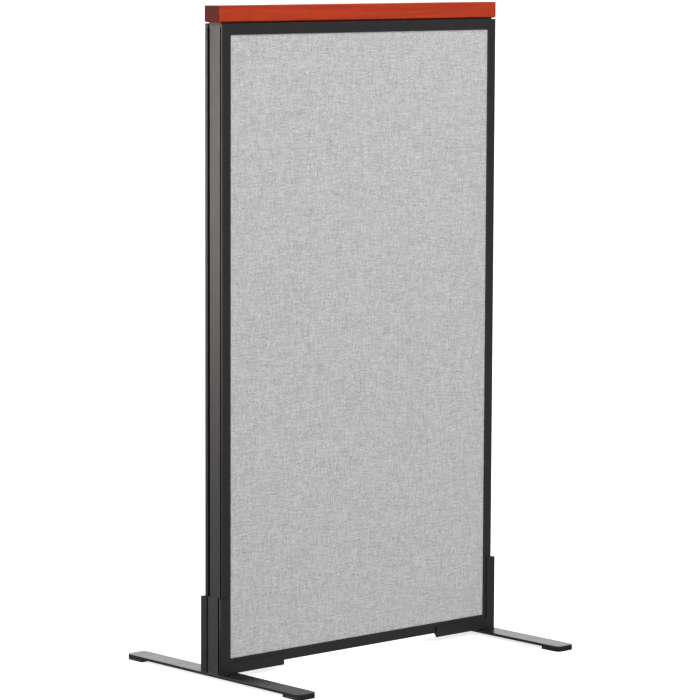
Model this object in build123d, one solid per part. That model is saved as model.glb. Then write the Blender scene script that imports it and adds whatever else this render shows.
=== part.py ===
from build123d import *
import os

# Freestanding office partition panel, in millimetres.
# +X runs along the panel's width, -Y is its front, +Z is up.
# The origin is on the floor, under the middle of the panel.

# ---- Overall sizes of the framed panel ----
panel_width = 616.0          # outside of the left stile to outside of the right stile
panel_height = 1059.0        # underside of the bottom rail to top of the top rail
panel_thickness = 44.5       # front face to back face of the aluminium frame

# ---- Frame extrusion, the same section on all four sides ----
bezel_width = 18.2           # face width seen from the front
bezel_wall = 1.75            # wall of the bezel beside the fabric
lip_wall = 4.6               # thicker outer wall, beside the slots
lip_radius = 1.2             # rounded outer edges of the frame
lip_bevel = 2.0              # bevel along the mouth of each slot
bezel_radius = 0.6           # eased inner edge of the bezel
channel_depth = 3.0          # how far the centre rib lies behind the lips
slot_width = 4.9             # slots each side of the centre rib
slot_depth = 8.5             # slot floor, measured from the outside of the frame
profile_wall = 1.5           # walls of the hollow centre rib and of the pocket floor

# ---- Corner keys and their screws ----
key_leg = 60.0               # length of each leg of the L-shaped key
key_clearance = 0.1          # gap between a key and the walls of its chamber
key_screw_radius = 2.0
key_screw_head_radius = 3.5
key_screw_inset = 42.0       # from the outside corner of the frame to the screw

# ---- Infill: core, tack boards and fabric ----
infill_edge_gap = 1.0        # infill edge to the floor of the frame's pocket
infill_face_gap = 0.2        # fabric to the inside of the bezel wall
tack_board = 4.5
fabric = 0.8

# ---- Wood cap, its clips and its screws ----
cap_set_back = 4.25          # cap's sides behind the frame's faces
cap_height = 27.7
cap_overhang = 3.6           # beyond each end of the frame
cap_gap = 1.5                # shadow gap between the cap and the top rail
cap_top_radius = 2.0
cap_bottom_radius = 3.0
clip_count = 3
clip_length = 190.0
clip_end_inset = 98.0        # end of the frame to the middle of the outer clips
clip_leg = 2.0               # thickness of a clip's spring legs
clip_leg_clearance = 0.2
clip_leg_reach = 4.0         # how far the legs reach into the slots
clip_flange = 3.2            # top plate of a clip
cap_screw_radius = 2.0
cap_screw_head_radius = 3.8
cap_screw_length = 20.0
cap_screw_spacing = 120.0    # between the two screws of one clip

# ---- Feet: flat bars, corner shoes, pads and their fixings ----
pad_thickness = 4.8
pad_length = 40.0
pad_edge_radius = 0.8
bar_thickness = 4.8
bar_width = 39.2
bar_length = 442.0
bar_corner_radius = 9.0
bar_edge_radius = 0.6
shoe_depth = 7.2             # the shoe's outer face stands this far outside the frame
shoe_height = 127.0          # upright leg, above the bar
shoe_reach = 139.7           # lower leg, from the shoe's outer face
shoe_flange = 2.7            # cheeks in front of and behind the frame
shoe_wall_tip = 1.7          # outer walls at the shoe's outer face
shoe_wall_foot = 6.6         # outer walls where they meet the web over the frame's lips
shoe_lap = 11.0              # how far the cheeks lap over the frame's faces
shoe_fit = 0.15              # clearance between the shoe and the frame
shoe_radius = 1.4
shoe_lap_radius = 0.8
shoe_ledge = 1.2             # web over the frame's lips, and the walls of the shoe's key
shoe_groove_depth = 8.4      # groove floors, behind the shoe's outer face
shoe_rib_set_back = 5.7      # centre rib, between the grooves, behind the shoe's outer face
bolt_radius = 3.0
bolt_head_radius = 6.0
bolt_head_height = 3.0
bolt_spacing = 14.0          # the two bolts of a foot lie in line with the panel
bolt_inset = 16.0            # from the end of the frame to the middle of its two bolts
bolt_clearance = 0.2
pad_screw_radius = 2.0
pad_screw_head_radius = 4.0
pad_screw_head_height = 2.0
pad_screw_recess = 1.0       # head below the pad's sole
pad_screw_grip = 3.6         # thread length in the bar

# ---- Levels and outlines that follow from the sizes above ----
bar_bottom = pad_thickness
bar_top = bar_bottom + bar_thickness
frame_bottom = bar_top + shoe_depth
frame_top = frame_bottom + panel_height
cap_bottom = frame_top + cap_gap
half_width = panel_width / 2
half_thickness = panel_thickness / 2
lip_inside = half_thickness - lip_wall
rib_half = lip_inside - slot_width
pocket_floor = slot_depth + profile_wall
pocket_half = half_thickness - bezel_wall
fabric_face = pocket_half - infill_face_gap
infill_inset = pocket_floor + infill_edge_gap
bolt_reach = slot_depth - key_clearance
FIT = 0.01                   # smallest overlap used to make a cut go right through


def export(solid, name):
    """Write one sub-part, named as its node."""
    solid.label = name
    export_step(solid, f"parts/{name}.step")


def block(x0, x1, y0, y1, z0, z1):
    """A box given by its two corners."""
    return Pos((x0 + x1) / 2, (y0 + y1) / 2, (z0 + z1) / 2) * Box(x1 - x0, y1 - y0, z1 - z0)


def countersunk(radius, head_radius, head_height, length):
    """A countersunk screw on the Z axis: its flat face at z = 0, its point at z = length."""
    head = Pos(0, 0, head_height / 2) * Cone(head_radius, radius, head_height)
    shank = Pos(0, 0, (head_height + length) / 2) * Cylinder(radius, length - head_height)
    return head + shank


def lengthwise(profile, start, end):
    """Extrude an (outward, across) profile so that outward is +X and its length is along Z."""
    return extrude(Plane.XY.offset(start) * profile, end - start)


# ---- Aluminium frame ----

def frame_profile():
    """Section of the extrusion: x is 0 at the outside and negative towards the panel."""
    outer = Polyline(
        (0, lip_inside + lip_bevel), (0, half_thickness), (-bezel_width, half_thickness),
        (-bezel_width, pocket_half), (-pocket_floor, pocket_half), (-pocket_floor, 0),
        (-channel_depth, 0), (-channel_depth, rib_half), (-slot_depth, rib_half),
        (-slot_depth, lip_inside), (-lip_bevel, lip_inside), close=True)
    half = make_face(outer)
    outside = half.vertices().filter_by(lambda v: v.X > -FIT and v.Y > half_thickness - FIT)
    half = fillet(outside, lip_radius)
    inside = half.vertices().filter_by(
        lambda v: v.X < FIT - bezel_width and v.Y > half_thickness - FIT)
    half = fillet(inside, bezel_radius)
    chamber_depth = slot_depth - channel_depth - profile_wall
    chamber_middle = -(channel_depth + profile_wall + chamber_depth / 2)
    chamber = Pos(chamber_middle, 0) * Rectangle(chamber_depth, 2 * (rib_half - profile_wall))
    return half + mirror(half, Plane.XZ) - chamber


def mitred(length):
    """One side of the frame: length along Z about z = 0, with 45 degree ends."""
    bar = lengthwise(frame_profile(), -length / 2, length / 2)
    size = 4 * panel_thickness
    for end in (1, -1):
        wedge = Pos(0, 0, end * length / 2) * Rot(0, -end * 45, 0) * Pos(0, 0, end * size / 2)
        bar -= wedge * Box(2 * size, size, size)
    return bar


frame_middle = (frame_bottom + frame_top) / 2
side_place = {
    "right_stile": Pos(half_width, 0, frame_middle),
    "left_stile": Pos(-half_width, 0, frame_middle) * Rot(0, 180, 0),
    "top_rail": Pos(0, 0, frame_top) * Rot(0, -90, 0),
    "bottom_rail": Pos(0, 0, frame_bottom) * Rot(0, 90, 0),
}
side_length = {
    "right_stile": panel_height, "left_stile": panel_height,
    "top_rail": panel_width, "bottom_rail": panel_width,
}
sides = {name: place * mitred(side_length[name]) for name, place in side_place.items()}


# ---- Corner keys: one L-shaped key in each corner, held by a screw in each leg ----

def corner_key():
    """The key of the corner at +X, +Z, in the frame's own outside corner at the origin."""
    front = channel_depth + profile_wall + key_clearance
    back = slot_depth - key_clearance
    half = rib_half - profile_wall - key_clearance
    upright = block(-back, -front, -half, half, -key_leg, -front)
    level = block(-key_leg, -front, -half, half, -back, -front)
    return upright + level


def key_screws():
    """The two countersunk screws of that corner, driven from the pocket of the frame."""
    length = pocket_floor - channel_depth - profile_wall - key_clearance
    screw = countersunk(key_screw_radius, key_screw_head_radius, profile_wall, length)
    upright = Pos(-pocket_floor, 0, -key_screw_inset) * Rot(0, 90, 0) * screw
    level = Pos(-key_screw_inset, 0, -pocket_floor) * screw
    return [upright, level]


corner_place = {
    "top_right": Pos(half_width, 0, frame_top),
    "bottom_right": Pos(half_width, 0, frame_bottom) * Rot(0, 90, 0),
    "bottom_left": Pos(-half_width, 0, frame_bottom) * Rot(0, 180, 0),
    "top_left": Pos(-half_width, 0, frame_top) * Rot(0, 270, 0),
}
corner_sides = {
    "top_right": ("right_stile", "top_rail"), "bottom_right": ("right_stile", "bottom_rail"),
    "bottom_left": ("left_stile", "bottom_rail"), "top_left": ("left_stile", "top_rail"),
}
keys = {}
key_screw_list = []
for corner, place in corner_place.items():
    key = place * corner_key()
    for screw in key_screws():
        screw = place * screw
        key_screw_list.append(screw)
        key -= screw
        for side in corner_sides[corner]:
            sides[side] -= screw
    keys[corner] = key


# ---- Infill: a core with a fabric-covered tack board on each face ----
infill_half_width = half_width - infill_inset
infill_bottom = frame_bottom + infill_inset
infill_top = frame_top - infill_inset
board_face = fabric_face - fabric
core_face = board_face - tack_board


def infill_layer(y0, y1, edge):
    """A flat layer of the infill, its edges drawn in by the given amount."""
    half = infill_half_width - edge
    return block(-half, half, y0, y1, infill_bottom + edge, infill_top - edge)


core = infill_layer(-core_face, core_face, fabric)
front_tack_board = infill_layer(-board_face, -core_face, fabric)
back_tack_board = infill_layer(core_face, board_face, fabric)
front_fabric = infill_layer(-fabric_face, -core_face, 0) - front_tack_board
back_fabric = infill_layer(core_face, fabric_face, 0) - back_tack_board


# ---- Wood cap on spring clips that snap into the top rail's slots ----
cap_half_length = half_width + cap_overhang
cap_half_width = half_thickness - cap_set_back
cap = block(-cap_half_length, cap_half_length, -cap_half_width, cap_half_width,
            cap_bottom, cap_bottom + cap_height)
cap = fillet(cap.edges().group_by(Axis.Z)[-1], cap_top_radius)
cap = fillet(cap.edges().group_by(Axis.Z)[0], cap_bottom_radius)

rib_top = frame_top - channel_depth
clip_half_width = rib_half + clip_leg_clearance + clip_leg
screw_sink = cap_screw_head_radius - cap_screw_radius


def cap_clip():
    """One clip about x = 0: a saddle on the centre rib with a spring leg in each slot."""
    half = clip_length / 2
    pad = block(-half, half, -rib_half, rib_half, rib_top, cap_bottom)
    plate = block(-half, half, -clip_half_width, clip_half_width,
                  cap_bottom - clip_flange, cap_bottom)
    clip = pad + plate
    for side in (1, -1):
        leg = block(-half, half, clip_half_width - clip_leg, clip_half_width,
                    rib_top - clip_leg_reach, cap_bottom)
        clip += leg if side > 0 else mirror(leg, Plane.XZ)
    return clip


clip_pitch = 2 * (half_width - clip_end_inset) / (clip_count - 1)
clips = []
cap_screws = []
for i in range(clip_count):
    x = clip_end_inset - half_width + i * clip_pitch
    clip = Pos(x, 0, 0) * cap_clip()
    for side in (-1, 1):
        screw = Pos(x + side * cap_screw_spacing / 2, 0, rib_top) * countersunk(
            cap_screw_radius, cap_screw_head_radius, screw_sink, cap_screw_length)
        clip -= screw
        cap -= screw
        cap_screws.append(screw)
    clips.append(clip)


# ---- Feet, built for the left end and mirrored for the right ----
shoe_face = half_thickness + shoe_fit + shoe_flange
bar_outer = half_width + shoe_depth
bar_inner = bar_outer - bar_width


def shoe_profile():
    """Section of the shoe: x is 0 at the frame's outside and positive outwards."""
    wall_inside = half_thickness + shoe_fit
    key = lip_inside - shoe_fit
    ledge = shoe_fit + shoe_ledge
    groove_floor = shoe_depth - shoe_groove_depth
    rib = shoe_depth - shoe_rib_set_back
    outer = Polyline(
        (shoe_depth, shoe_face - shoe_wall_tip), (shoe_depth, shoe_face), (-shoe_lap, shoe_face),
        (-shoe_lap, wall_inside), (shoe_fit, wall_inside), (shoe_fit, key),
        (shoe_fit - channel_depth, key), (shoe_fit - channel_depth, 0), (rib, 0),
        (rib, rib_half), (groove_floor, rib_half), (groove_floor, key - shoe_ledge),
        (ledge, key - shoe_ledge), (ledge, shoe_face - shoe_wall_foot), close=True)
    half = make_face(outer)
    face_corners = half.vertices().filter_by(lambda v: v.Y > shoe_face - FIT)
    half = fillet(face_corners.sort_by(Axis.X)[-1], shoe_radius)
    face_corners = half.vertices().filter_by(lambda v: v.X < FIT - shoe_lap)
    half = fillet(face_corners.sort_by(Axis.Y)[-1], shoe_lap_radius)
    return half + mirror(half, Plane.XZ)


def corner_shoe():
    """The left shoe: an upright that stands on the bar, and a lower leg of the same section."""
    corner = Pos(-bar_outer, 0, bar_top)
    profile = shoe_profile()
    upright = lengthwise(profile, 0, shoe_height)
    upright = Pos(-half_width, 0, bar_top) * Rot(0, 0, 180) * upright
    lower = lengthwise(profile, 0, shoe_reach)
    lower = Pos(-bar_outer, 0, frame_bottom) * Rot(0, 90, 0) * lower
    size = 2 * (shoe_height + shoe_reach)
    below = corner * Rot(0, -45, 0) * Pos(0, 0, -size / 2) * Box(size, size, size)
    return upright + (lower & below)


def bar_outline(x0, x1, y0, y1):
    """Plan outline shared by the bar and its pads."""
    return Pos((x0 + x1) / 2, (y0 + y1) / 2) * RectangleRounded(x1 - x0, y1 - y0, bar_corner_radius)


shoe = corner_shoe()
bar = extrude(
    Plane.XY.offset(bar_bottom) * bar_outline(-bar_outer, -bar_inner, -bar_length / 2, bar_length / 2),
    bar_thickness)
bar = fillet(bar.edges().group_by(Axis.Z)[-1], bar_edge_radius)
bar = fillet(bar.edges().group_by(Axis.Z)[0], bar_edge_radius)

bolt_length = frame_bottom + bolt_reach - bar_bottom
rib_wall = block(-half_width, half_width, -rib_half, rib_half,
                 frame_bottom, frame_bottom + channel_depth + profile_wall)
bolts = []
for side in (-1, 1):
    place = Pos(bolt_inset - half_width + side * bolt_spacing / 2, 0, bar_bottom)
    bolt = place * countersunk(bolt_radius, bolt_head_radius, bolt_head_height, bolt_length)
    hole = place * Pos(0, 0, bolt_length / 2) * Cylinder(bolt_radius + bolt_clearance, bolt_length)
    bar -= bolt
    shoe -= hole
    keys["bottom_left"] -= bolt
    keys["bottom_right"] -= mirror(bolt, Plane.YZ)
    wall_hole = hole & rib_wall
    sides["bottom_rail"] = sides["bottom_rail"] - wall_hole - mirror(wall_hole, Plane.YZ)
    bolts.append(bolt)


def glide_pad():
    """The left front pad: the bar's own rounded end, cut off straight at the inner side."""
    outline = bar_outline(-bar_outer, -bar_inner, -bar_length / 2, bar_length / 2)
    pad = extrude(outline, pad_thickness)
    pad &= block(-2 * bar_outer, 0, -bar_length, pad_length - bar_length / 2, 0, pad_thickness)
    return fillet(pad.edges().group_by(Axis.Z)[0], pad_edge_radius)


front_pad = glide_pad()
pad_middle = (-(bar_outer + bar_inner) / 2, (pad_length - bar_length) / 2)
pad_screw = Pos(*pad_middle, pad_screw_recess) * countersunk(
    pad_screw_radius, pad_screw_head_radius, pad_screw_head_height,
    pad_thickness - pad_screw_recess + pad_screw_grip)
screw_mouth = Pos(*pad_middle, pad_screw_recess / 2) * Cylinder(pad_screw_head_radius, pad_screw_recess)
front_pad = front_pad - pad_screw - screw_mouth
back_pad = mirror(front_pad, Plane.XZ)
pad_screws = [pad_screw, mirror(pad_screw, Plane.XZ)]
for screw in pad_screws:
    bar -= screw


# ---- Write every sub-part ----
os.makedirs("parts", exist_ok=True)
for name, solid in sides.items():
    export(solid, name)
for corner, key in keys.items():
    export(key, f"corner_key_{corner}")
export(Compound(key_screw_list), "corner_key_screws")
export(core, "core_board")
export(front_tack_board, "front_tack_board")
export(back_tack_board, "back_tack_board")
export(front_fabric, "front_fabric")
export(back_fabric, "back_fabric")
export(cap, "wood_cap")
for name, clip in zip(("left", "middle", "right"), clips):
    export(clip, f"cap_clip_{name}")
export(Compound(cap_screws), "cap_screws")

left_foot = {"foot_bar": bar, "corner_shoe": shoe, "front_pad": front_pad, "back_pad": back_pad}
for name, solid in left_foot.items():
    export(solid, f"left_{name}")
    export(mirror(solid, Plane.YZ), f"right_{name}")
foot_groups = {"foot_bolts": bolts, "pad_screws": pad_screws}
for name, solids in foot_groups.items():
    export(Compound(solids + [mirror(solid, Plane.YZ) for solid in solids]), name)
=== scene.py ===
import math
import bmesh
import bpy
from mathutils import Matrix, Vector, noise


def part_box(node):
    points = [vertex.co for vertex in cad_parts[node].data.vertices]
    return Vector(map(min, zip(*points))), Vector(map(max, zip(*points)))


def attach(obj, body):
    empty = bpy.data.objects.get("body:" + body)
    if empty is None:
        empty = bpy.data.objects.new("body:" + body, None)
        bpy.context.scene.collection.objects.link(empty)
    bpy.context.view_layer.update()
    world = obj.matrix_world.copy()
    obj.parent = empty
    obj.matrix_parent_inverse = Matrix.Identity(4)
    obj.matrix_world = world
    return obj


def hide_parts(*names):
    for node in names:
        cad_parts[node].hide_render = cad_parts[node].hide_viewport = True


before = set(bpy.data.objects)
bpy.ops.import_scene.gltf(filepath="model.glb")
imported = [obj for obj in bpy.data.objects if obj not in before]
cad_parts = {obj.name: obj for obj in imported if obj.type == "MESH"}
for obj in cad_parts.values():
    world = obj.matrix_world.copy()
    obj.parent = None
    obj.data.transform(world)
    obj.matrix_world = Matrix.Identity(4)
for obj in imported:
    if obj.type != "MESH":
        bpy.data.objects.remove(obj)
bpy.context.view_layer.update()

# ---- Aluminium frame ----
# Four lengths of one extrusion, mitred at the corners: a rounded lip and a deep slot on each
# side of a set-back centre rib. Extruded, cut, then coated with black satin powder.


def linear(hex_colour):
    """An sRGB hex colour as the linear values that a socket takes."""
    parts = [int(hex_colour[i:i + 2], 16) / 255 for i in (1, 3, 5)]
    return [c / 12.92 if c <= 0.04045 else ((c + 0.055) / 1.055) ** 2.4 for c in parts] + [1.0]


def repeats(mm):
    """Texture scale, on coordinates in metres, of a pattern that repeats every so many mm."""
    return 1000.0 / mm


def add_node(material, kind, sockets, **settings):
    """Adds a node; sockets maps an input's name or number to a value or to another output."""
    node = material.node_tree.nodes.new(kind)
    for name, value in settings.items():
        setattr(node, name, value)
    for name, value in sockets.items():
        if isinstance(value, bpy.types.NodeSocket):
            material.node_tree.links.new(value, node.inputs[name])
        else:
            node.inputs[name].default_value = value
    return node


def new_finish(name, sockets):
    """A material with its constant values on the shader itself."""
    material = bpy.data.materials.new(name)
    material.use_nodes = True
    shader = material.node_tree.nodes["Principled BSDF"]
    for socket, value in sockets.items():
        shader.inputs[socket].default_value = value
    return material, shader


def wire(material, output, shader, socket):
    material.node_tree.links.new(output, shader.inputs[socket])


def powder_coat(name, dark, light, roughness, peel_mm, peel_height):
    """Baked polyester powder: an even satin black with a fine orange peel and a faint mottle."""
    material, shader = new_finish(name, {"IOR": 1.5, "Metallic": 0.0})
    place = add_node(material, "ShaderNodeTexCoord", {}).outputs["Object"]
    mottle = add_node(material, "ShaderNodeTexNoise",
                      {"Vector": place, "Scale": repeats(18.0), "Detail": 4.0})
    colour = add_node(material, "ShaderNodeMix",
                      {"Factor": mottle.outputs["Fac"], "A": linear(dark), "B": linear(light)},
                      data_type="RGBA")
    wire(material, colour.outputs["Result"], shader, "Base Color")
    satin = add_node(material, "ShaderNodeMapRange",
                     {"Value": mottle.outputs["Fac"], "From Min": 0.3, "From Max": 0.7,
                      "To Min": roughness - 0.03, "To Max": roughness + 0.03})
    wire(material, satin.outputs["Result"], shader, "Roughness")
    peel = add_node(material, "ShaderNodeTexNoise",
                    {"Vector": place, "Scale": repeats(peel_mm), "Detail": 2.0})
    grit = add_node(material, "ShaderNodeTexVoronoi",
                    {"Vector": place, "Scale": repeats(peel_mm / 3)})
    skin = add_node(material, "ShaderNodeMath",
                    {0: grit.outputs["Distance"], 1: 0.3, 2: peel.outputs["Fac"]},
                    operation="MULTIPLY_ADD")
    bump = add_node(material, "ShaderNodeBump",
                    {"Height": skin.outputs["Value"], "Strength": 0.25, "Distance": peel_height})
    wire(material, bump.outputs["Normal"], shader, "Normal")
    return material


def dress(node_name, material):
    """Gives a node of the frame its finish."""
    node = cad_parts[node_name]
    for slot in node.material_slots:
        slot.material = material
    return node


def ease_edges(node, width_mm):
    """Breaks the sharp edges, as tumbling and a coat of paint do."""
    weld = node.modifiers.new("join faces", "WELD")
    weld.merge_threshold = 0.000005
    ease = node.modifiers.new("ease edges", "BEVEL")
    ease.width = width_mm / 1000
    ease.segments = 2
    ease.limit_method = "ANGLE"
    ease.angle_limit = math.radians(40)
    ease.harden_normals = True


frame_coat = powder_coat("aluminium extrusion, black satin powder coat", "#222224", "#272729",
                         0.36, 1.2, 0.00004)
for name in ("left_stile", "right_stile", "top_rail", "bottom_rail"):
    ease_edges(dress(name, frame_coat), 0.25)

# ---- Corner keys ----
# An L-shaped key of die-cast zinc slides into the hollow ribs at each mitred corner, and a zinc
# plated countersunk screw in each leg holds it.

def cast_metal(name, colour, roughness, grain_mm):
    """Bare cast or plated metal with a fine uneven skin."""
    material, shader = new_finish(name, {"Base Color": linear(colour), "Metallic": 1.0})
    place = add_node(material, "ShaderNodeTexCoord", {}).outputs["Object"]
    grain = add_node(material, "ShaderNodeTexNoise",
                     {"Vector": place, "Scale": repeats(grain_mm), "Detail": 5.0})
    dull = add_node(material, "ShaderNodeMapRange",
                    {"Value": grain.outputs["Fac"], "To Min": roughness - 0.1,
                     "To Max": roughness + 0.15})
    wire(material, dull.outputs["Result"], shader, "Roughness")
    bump = add_node(material, "ShaderNodeBump",
                    {"Height": grain.outputs["Fac"], "Strength": 0.3, "Distance": 0.00003})
    wire(material, bump.outputs["Normal"], shader, "Normal")
    return material


key_zinc = cast_metal("zinc die casting, tumbled", "#8f9194", 0.45, 0.8)
for corner in ("top_left", "top_right", "bottom_left", "bottom_right"):
    dress("corner_key_" + corner, key_zinc)
plated_steel = cast_metal("steel, bright zinc plated", "#a9acb0", 0.3, 0.5)
dress("corner_key_screws", plated_steel)
dress("cap_screws", plated_steel)

# ---- Core and tack boards ----
# A paper honeycomb core faced with two boards of pressed mineral and wood fibre, cut to size.

def pressed_board(name, dark, light, fibre_mm):
    """Short fibres pressed flat: a felted, mottled surface."""
    material, shader = new_finish(name, {"Roughness": 0.9, "IOR": 1.5})
    place = add_node(material, "ShaderNodeTexCoord", {}).outputs["Object"]
    fibres = add_node(material, "ShaderNodeTexNoise",
                      {"Vector": place, "Scale": repeats(fibre_mm), "Detail": 8.0,
                       "Distortion": 1.5})
    colour = add_node(material, "ShaderNodeMix",
                      {"Factor": fibres.outputs["Fac"], "A": linear(dark), "B": linear(light)},
                      data_type="RGBA")
    wire(material, colour.outputs["Result"], shader, "Base Color")
    bump = add_node(material, "ShaderNodeBump",
                    {"Height": fibres.outputs["Fac"], "Strength": 0.5, "Distance": 0.0002})
    wire(material, bump.outputs["Normal"], shader, "Normal")
    return material


dress("core_board", pressed_board("paper honeycomb core board", "#8f7a58", "#b39c74", 6.0))
tack_fibre = pressed_board("pressed fibre tack board", "#8a8475", "#b5ae9c", 3.0)
dress("front_tack_board", tack_fibre)
dress("back_tack_board", tack_fibre)

# ---- Fabric ----
# A heathered plain weave of light grey polyester, stretched over each tack board and turned
# over its edges, which the frame's bezels hold down. It lies flat, with a very slight crown.
FABRIC_THICKNESS = 0.0008
GRID_PITCH = 0.005
TURN_RADIUS = 0.0012
CROWN = 0.0004
UNEVENNESS = 0.0001
UNEVEN_PER_METRE = 14
EDGE_FADE = 12          # crown and unevenness die out over the outer twelfth, held by the frame
EDGE_FACING = 0.7       # a face this far turned outwards belongs to the cloth's turned edge
YARN_MM = 2.4           # real yarns lie under 1 mm apart; drawn this coarse so that they show
YARN_WANDER = 0.0018
YARN_SHADE_STEP = 7.31  # far enough apart in the noise that neighbouring yarns don't match


def yarn_set(material, along, across, seed, slub_mm, lift):
    """One set of yarns: its shade, which drifts in slubs, and its height in the weave."""
    lane = add_node(material, "ShaderNodeMath", {0: across, 1: repeats(YARN_MM)},
                    operation="MULTIPLY")
    number = add_node(material, "ShaderNodeMath", {0: lane.outputs["Value"]}, operation="FLOOR")
    spread = add_node(material, "ShaderNodeMath",
                      {0: number.outputs["Value"], 1: YARN_SHADE_STEP, 2: seed},
                      operation="MULTIPLY_ADD")
    run = add_node(material, "ShaderNodeMath", {0: along, 1: repeats(slub_mm)},
                   operation="MULTIPLY")
    spot = add_node(material, "ShaderNodeCombineXYZ",
                    {"X": run.outputs["Value"], "Y": spread.outputs["Value"], "Z": seed})
    slub = add_node(material, "ShaderNodeTexNoise",
                    {"Vector": spot.outputs["Vector"], "Scale": 1.0, "Detail": 3.0,
                     "Roughness": 0.55})
    turn = add_node(material, "ShaderNodeMath", {0: lane.outputs["Value"], 1: math.pi},
                    operation="MULTIPLY")
    wave = add_node(material, "ShaderNodeMath", {0: turn.outputs["Value"]}, operation="SINE")
    round_yarn = add_node(material, "ShaderNodeMath", {0: wave.outputs["Value"]},
                          operation="ABSOLUTE")
    # How high this set rides: over one crossing yarn and under the next, smoothly.
    step = add_node(material, "ShaderNodeMath", {0: along, 1: repeats(YARN_MM) * math.pi},
                    operation="MULTIPLY")
    phase = add_node(material, "ShaderNodeMath", {0: number.outputs["Value"], 1: math.pi,
                                                  2: step.outputs["Value"]},
                     operation="MULTIPLY_ADD")
    ride = add_node(material, "ShaderNodeMath", {0: phase.outputs["Value"]}, operation="SINE")
    height = add_node(material, "ShaderNodeMath",
                      {0: ride.outputs["Value"], 1: lift, 2: round_yarn.outputs["Value"]},
                      operation="MULTIPLY_ADD")
    return slub.outputs["Fac"], height.outputs["Value"]


def woven_fabric():
    """Light and dark grey yarns, crossing over and under: heathered and matt."""
    material, shader = new_finish(
        "heathered polyester plain weave, light grey",
        {"Roughness": 0.92, "IOR": 1.45, "Sheen Weight": 0.15, "Sheen Roughness": 0.5})
    cut = add_node(material, "ShaderNodeUVMap", {}, uv_map="cut").outputs["UV"]
    # Yarns are never dead straight: they wander by a third of their own width.
    wander = add_node(material, "ShaderNodeTexNoise",
                      {"Vector": cut, "Scale": repeats(14.0), "Detail": 1.0})
    off = add_node(material, "ShaderNodeVectorMath",
                   {0: wander.outputs["Color"], 1: (YARN_WANDER, YARN_WANDER, 0.0), 2: cut},
                   operation="MULTIPLY_ADD").outputs["Vector"]
    spot = add_node(material, "ShaderNodeSeparateXYZ", {"Vector": off})
    across, up = spot.outputs["X"], spot.outputs["Y"]
    warp, warp_height = yarn_set(material, up, across, seed=3.7, slub_mm=15.0, lift=0.5)
    weft, weft_height = yarn_set(material, across, up, seed=41.3, slub_mm=18.0, lift=-0.5)
    lead = add_node(material, "ShaderNodeMath", {0: weft_height, 1: warp_height},
                    operation="SUBTRACT")
    weft_on_top = add_node(material, "ShaderNodeMapRange",
                           {"Value": lead.outputs["Value"], "From Min": -0.15, "From Max": 0.15})
    shade = add_node(material, "ShaderNodeMix",
                     {"Factor": weft_on_top.outputs["Result"], "A": warp, "B": weft},
                     data_type="FLOAT")
    fibre = add_node(material, "ShaderNodeTexNoise",
                     {"Vector": cut, "Scale": repeats(3.4), "Detail": 3.0})
    heather = add_node(material, "ShaderNodeMix",
                       {"Factor": 0.4, "A": shade.outputs["Result"], "B": fibre.outputs["Fac"]},
                       data_type="FLOAT")
    dye = add_node(material, "ShaderNodeValToRGB", {"Fac": heather.outputs["Result"]})
    for stop, at, colour in zip(dye.color_ramp.elements, (0.32, 0.68), ("#919191", "#cdcdcd")):
        stop.position, stop.color = at, linear(colour)
    wire(material, dye.outputs["Color"], shader, "Base Color")
    top = add_node(material, "ShaderNodeMath", {0: warp_height, 1: weft_height},
                   operation="MAXIMUM")
    height = add_node(material, "ShaderNodeMath",
                      {0: heather.outputs["Result"], 1: 1.0, 2: top.outputs["Value"]},
                      operation="MULTIPLY_ADD")
    bump = add_node(material, "ShaderNodeBump",
                    {"Height": height.outputs["Value"], "Strength": 0.4, "Distance": 0.00025})
    wire(material, bump.outputs["Normal"], shader, "Normal")
    return material


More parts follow.
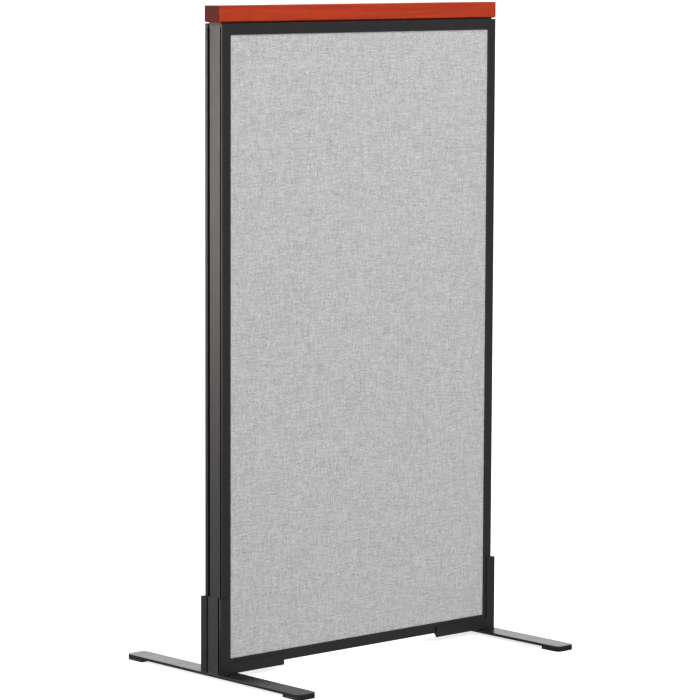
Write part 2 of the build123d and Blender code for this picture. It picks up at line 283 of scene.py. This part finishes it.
def stretched_sheet(node_name, facing):
    """The fabric of one face. facing is -1 for the front face and 1 for the back."""
    low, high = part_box(node_name)
    width, length = high.x - low.x, high.z - low.z
    middle = (low + high) / 2
    face = low.y if facing < 0 else high.y
    turn = high.y - low.y
    cloth = bmesh.new()
    bmesh.ops.create_grid(cloth, x_segments=round(width / GRID_PITCH),
                          y_segments=round(length / GRID_PITCH), size=0.5)
    bmesh.ops.scale(cloth, vec=(width, length, 1), verts=cloth.verts)
    rim = [e for e in cloth.edges if e.is_boundary]
    turned = bmesh.ops.extrude_edge_only(cloth, edges=rim)
    edge_verts = [g for g in turned["geom"] if isinstance(g, bmesh.types.BMVert)]
    bmesh.ops.translate(cloth, vec=(0, 0, -turn), verts=edge_verts)
    bmesh.ops.bevel(cloth, geom=rim, offset=TURN_RADIUS, offset_type="OFFSET", segments=3,
                    profile=0.5, affect="EDGES", material=-1)
    bmesh.ops.recalc_face_normals(cloth, faces=cloth.faces)
    if sum(f.normal.z for f in cloth.faces) < 0:
        bmesh.ops.reverse_faces(cloth, faces=cloth.faces)
    # The cut's own coordinates, in metres, follow the cloth over the board's edges.
    cut = cloth.loops.layers.uv.new("cut")
    for f in cloth.faces:
        for loop in f.loops:
            x, y, z = loop.vert.co
            over = Vector((f.normal.x, f.normal.y))
            over = over.normalized() * -z if over.length > EDGE_FACING else Vector((0, 0))
            loop[cut].uv = (x + over.x, y + over.y)
    for v in cloth.verts:
        u, w = 2 * v.co.x / width, 2 * v.co.y / length
        inside = max(0.0, 1 - abs(u)) * max(0.0, 1 - abs(w))
        spread = min(1.0, inside * EDGE_FADE)
        if v.co.z > -TURN_RADIUS / 2:
            drift = noise.noise(Vector((v.co.x * UNEVEN_PER_METRE, v.co.y * UNEVEN_PER_METRE,
                                        facing * 5.0)))
            v.co.z += CROWN * (1 - (1 - inside) ** 4) * spread + UNEVENNESS * drift * spread
    upright = (Matrix.Translation((middle.x, face, middle.z))
               @ Matrix.Rotation(math.pi if facing > 0 else 0.0, 4, "Z")
               @ Matrix.Rotation(math.radians(90), 4, "X"))
    bmesh.ops.transform(cloth, matrix=upright, verts=cloth.verts)
    mesh = bpy.data.meshes.new(node_name + "_sheet")
    cloth.to_mesh(mesh)
    cloth.free()
    for polygon in mesh.polygons:
        polygon.use_smooth = True
    sheet = bpy.data.objects.new(node_name + "_sheet", mesh)
    bpy.context.scene.collection.objects.link(sheet)
    thick = sheet.modifiers.new("thickness of the cloth", "SOLIDIFY")
    thick.thickness = FABRIC_THICKNESS
    thick.offset = -1
    mesh.materials.append(fabric_weave)
    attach(sheet, "root")
    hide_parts(node_name)


fabric_weave = woven_fabric()
stretched_sheet("front_fabric", -1)
stretched_sheet("back_fabric", 1)

# ---- Wood cap ----
# A solid moulding of straight-grained cherry, stained orange-red under clear gloss lacquer,
# with its long edges rounded over. Long clips screwed to its underside hold it on.
END_GRAIN_DEPTH = 0.0008


def stained_wood(name):
    """A warm orange-red with soft growth rings and darker pores, under a thin gloss."""
    material, shader = new_finish(
        name, {"IOR": 1.35, "Coat Roughness": 0.12, "Coat IOR": 1.5})
    place = add_node(material, "ShaderNodeTexCoord", {}).outputs["Object"]
    # Growth rings run lengthwise: about 9 mm apart across the bar, waving slowly over 300 mm.
    lengthwise = add_node(
        material, "ShaderNodeMapping",
        {"Vector": place, "Scale": (repeats(300.0), repeats(9.0), repeats(9.0))})
    rings = add_node(material, "ShaderNodeTexNoise",
                     {"Vector": lengthwise.outputs["Vector"], "Scale": 1.0, "Detail": 6.0,
                      "Roughness": 0.62, "Distortion": 0.6})
    fine = add_node(material, "ShaderNodeMapping",
                    {"Vector": place, "Scale": (repeats(26.0), repeats(0.9), repeats(0.9))})
    pores = add_node(material, "ShaderNodeTexNoise",
                     {"Vector": fine.outputs["Vector"], "Scale": 1.0, "Detail": 2.0})
    stain = add_node(material, "ShaderNodeValToRGB", {"Fac": rings.outputs["Fac"]})
    for stop, at, colour in zip(stain.color_ramp.elements, (0.3, 0.7), ("#a0260a", "#b83a0e")):
        stop.position, stop.color = at, linear(colour)
    dark = add_node(material, "ShaderNodeMapRange",
                    {"Value": pores.outputs["Fac"], "From Min": 0.36, "From Max": 0.46,
                     "To Min": 0.75, "To Max": 1.0})
    grain = add_node(material, "ShaderNodeMix",
                     {"Factor": 1.0, "A": stain.outputs["Color"], "B": dark.outputs["Result"]},
                     data_type="RGBA", blend_type="MULTIPLY")
    # The open end grain drinks the stain: darker, and hardly glossy.
    spot = add_node(material, "ShaderNodeSeparateXYZ", {"Vector": place})
    reach = add_node(material, "ShaderNodeMath", {0: spot.outputs["X"]}, operation="ABSOLUTE")
    end_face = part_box("wood_cap")[1].x
    end = add_node(material, "ShaderNodeMapRange",
                   {"Value": reach.outputs["Value"], "From Min": end_face - END_GRAIN_DEPTH,
                    "From Max": end_face - END_GRAIN_DEPTH / 4})
    soaked = add_node(material, "ShaderNodeMix",
                      {"Factor": end.outputs["Result"], "A": grain.outputs["Result"],
                       "B": linear("#5a1a0c")}, data_type="RGBA")
    wire(material, soaked.outputs["Result"], shader, "Base Color")
    gloss = add_node(material, "ShaderNodeMapRange",
                     {"Value": end.outputs["Result"], "To Min": 0.35, "To Max": 0.0})
    wire(material, gloss.outputs["Result"], shader, "Coat Weight")
    sheen = add_node(material, "ShaderNodeMapRange",
                     {"Value": pores.outputs["Fac"], "To Min": 0.42, "To Max": 0.3})
    dull = add_node(material, "ShaderNodeMix",
                    {"Factor": end.outputs["Result"], "A": sheen.outputs["Result"], "B": 0.75},
                    data_type="FLOAT")
    wire(material, dull.outputs["Result"], shader, "Roughness")
    bump = add_node(material, "ShaderNodeBump",
                    {"Height": pores.outputs["Fac"], "Strength": 0.15, "Distance": 0.00005})
    wire(material, bump.outputs["Normal"], shader, "Normal")
    return material


ease_edges(dress("wood_cap", stained_wood("cherry, stained and lacquered")), 0.6)

# ---- Cap clips ----
# Three long saddles of moulded black nylon, end to end under the cap: two screws hold each to the
# cap, and its legs snap into the top rail's slots.

def moulded_plastic(name, colour, roughness, grain_mm, depth):
    """An even black with the mould's fine grain, and dull rather than glossy."""
    material, shader = new_finish(name, {"Base Color": linear(colour), "IOR": 1.53})
    place = add_node(material, "ShaderNodeTexCoord", {}).outputs["Object"]
    grain = add_node(material, "ShaderNodeTexNoise",
                     {"Vector": place, "Scale": repeats(grain_mm), "Detail": 3.0})
    dull = add_node(material, "ShaderNodeMapRange",
                    {"Value": grain.outputs["Fac"], "To Min": roughness - 0.06,
                     "To Max": roughness + 0.06})
    wire(material, dull.outputs["Result"], shader, "Roughness")
    bump = add_node(material, "ShaderNodeBump",
                    {"Height": grain.outputs["Fac"], "Strength": 0.4, "Distance": depth})
    wire(material, bump.outputs["Normal"], shader, "Normal")
    return material


clip_nylon = moulded_plastic("moulded nylon, black", "#161617", 0.45, 0.6, 0.00003)
for place in ("left", "middle", "right"):
    ease_edges(dress("cap_clip_" + place, clip_nylon), 0.3)

# ---- Corner shoes ----
# A cast metal L at each end that laps the panel's faces, end and bottom. It is die cast in one
# piece with thin outer walls and a centre rib, then coated black like the frame.
shoe_coat = powder_coat("cast aluminium, black satin powder coat", "#212123", "#262628",
                        0.38, 1.4, 0.00005)
for side in ("left", "right"):
    ease_edges(dress(side + "_corner_shoe", shoe_coat), 0.4)

# ---- Foot bars ----
# Flat steel bars with rounded corners, sheared and drilled, bolted up through the shoes and
# coated black.
bar_coat = powder_coat("steel flat bar, black satin powder coat", "#1c1c1e", "#212123",
                       0.24, 1.6, 0.00003)
for side in ("left", "right"):
    dress(side + "_foot_bar", bar_coat)

# ---- Glide pads ----
# A pad of hard moulded rubber under each end of each bar, cut to the bar's own outline and held
# by one sunk screw.
pad_rubber = moulded_plastic("hard moulded rubber, black", "#131313", 0.7, 0.5, 0.00005)
for side in ("left", "right"):
    for end in ("front", "back"):
        dress(f"{side}_{end}_pad", pad_rubber)

# ---- Bolts and screws ----
# Countersunk steel fixings with a black oxide finish: two bolts up through each foot into the
# panel's lower corner key, and one screw in each pad.
black_steel = cast_metal("steel, black oxide", "#2b2b2d", 0.4, 0.4)
dress("foot_bolts", black_steel)
dress("pad_screws", black_steel)

# ---- Studio ----
# A pale floor that runs to the horizon, a dim room with a bright wall behind, and soft boxes
# above, to the left, and in front for the edges.
FLOOR_HALF = 200.0
floor_shape = bmesh.new()
bmesh.ops.create_grid(floor_shape, x_segments=1, y_segments=1, size=FLOOR_HALF)
floor_mesh = bpy.data.meshes.new("studio_floor")
floor_shape.to_mesh(floor_mesh)
floor_shape.free()
floor = bpy.data.objects.new("studio_floor", floor_mesh)
bpy.context.scene.collection.objects.link(floor)
floor_paint, _ = new_finish(
    "matt white floor", {"Base Color": linear("#f4f4f4"), "Roughness": 0.9,
                         "Specular IOR Level": 0.1, "Emission Color": linear("#ffffff"),
                         "Emission Strength": 0.75})
floor_mesh.materials.append(floor_paint)
floor.visible_diffuse = False
floor.visible_glossy = False

# The room is bright behind and dimmer in front, and the more so as a glossy surface sees it, so
# that the black paint stays black.
FRONT_LIGHT, BACK_LIGHT = 0.64, 1.05
FRONT_MIRRORED, BACK_MIRRORED_LOW, BACK_MIRRORED_HIGH = 0.25, 0.1, 1.3
world = bpy.data.worlds.new("studio room")
bpy.context.scene.world = world
world.use_nodes = True
sky = world.node_tree.nodes["Background"]
way = add_node(world, "ShaderNodeSeparateXYZ",
               {"Vector": add_node(world, "ShaderNodeTexCoord", {}).outputs["Generated"]})
behind = add_node(world, "ShaderNodeMapRange",
                  {"Value": way.outputs["Y"], "From Min": -0.2, "From Max": 0.6},
                  interpolation_type="SMOOTHSTEP")
lit = add_node(world, "ShaderNodeMix",
               {"Factor": behind.outputs["Result"], "A": FRONT_LIGHT, "B": BACK_LIGHT},
               data_type="FLOAT")
above = add_node(world, "ShaderNodeMapRange",
                 {"Value": way.outputs["Z"], "From Min": -0.25, "From Max": 0.05,
                  "To Min": BACK_MIRRORED_LOW, "To Max": BACK_MIRRORED_HIGH},
                 interpolation_type="SMOOTHSTEP")
seen = add_node(world, "ShaderNodeMix",
                {"Factor": behind.outputs["Result"], "A": FRONT_MIRRORED,
                 "B": above.outputs["Result"]},
                data_type="FLOAT")
mirrored = add_node(world, "ShaderNodeLightPath", {}).outputs["Is Glossy Ray"]
glow = add_node(world, "ShaderNodeMix",
                {"Factor": mirrored, "A": lit.outputs["Result"], "B": seen.outputs["Result"]},
                data_type="FLOAT")
world.node_tree.links.new(glow.outputs["Result"], sky.inputs["Strength"])
sky.inputs["Color"].default_value = linear("#ffffff")


def soft_box(name, place, aim, width, height, power, colour):
    lamp = bpy.data.lights.new(name, "AREA")
    lamp.shape = "RECTANGLE"
    lamp.size, lamp.size_y = width, height
    lamp.energy = power
    lamp.color = linear(colour)[:3]
    box = bpy.data.objects.new(name, lamp)
    bpy.context.scene.collection.objects.link(box)
    box.location = place
    box.rotation_mode = "QUATERNION"
    box.rotation_quaternion = (Vector(aim) - Vector(place)).to_track_quat("-Z", "Y")
    box.visible_camera = False
    return box


overhead = soft_box("overhead", (0.3, -3.2, 3.6), (0, 0, 0.5), 3.5, 3.5, 150.0, "#ffffff")
overhead.visible_glossy = False
soft_box("left", (-3.0, 1.7, 0.72), (-0.3, 0.3, 0.6), 3.0, 0.95, 46.0, "#fff0e6")
edge_light = soft_box("edge_light", (-2.9, -2.4, 0.8), (-0.3, 0, 0.75), 1.1, 1.0, 36.0, "#ffffff")
edge_light.visible_diffuse = False

# ---- Camera ----
# A long lens in front of the panel and to its left, a little above its top.
CAMERA_AT = (-4.0015, -4.4044, 1.2242)
TURNED_RIGHT, TILTED_DOWN, ROLLED = 42.200, 6.727, 0.2455
camera_data = bpy.data.cameras.new("camera")
camera_data.sensor_width = 36.0
camera_data.lens = 182.525
camera_data.clip_end = FLOOR_HALF
camera = bpy.data.objects.new("camera", camera_data)
bpy.context.scene.collection.objects.link(camera)
camera.matrix_world = (Matrix.Translation(CAMERA_AT)
                       @ Matrix.Rotation(math.radians(-TURNED_RIGHT), 4, "Z")
                       @ Matrix.Rotation(math.radians(90 - TILTED_DOWN), 4, "X")
                       @ Matrix.Rotation(math.radians(ROLLED), 4, "Z"))
bpy.context.scene.camera = camera
bpy.context.scene.view_settings.view_transform = "Standard"
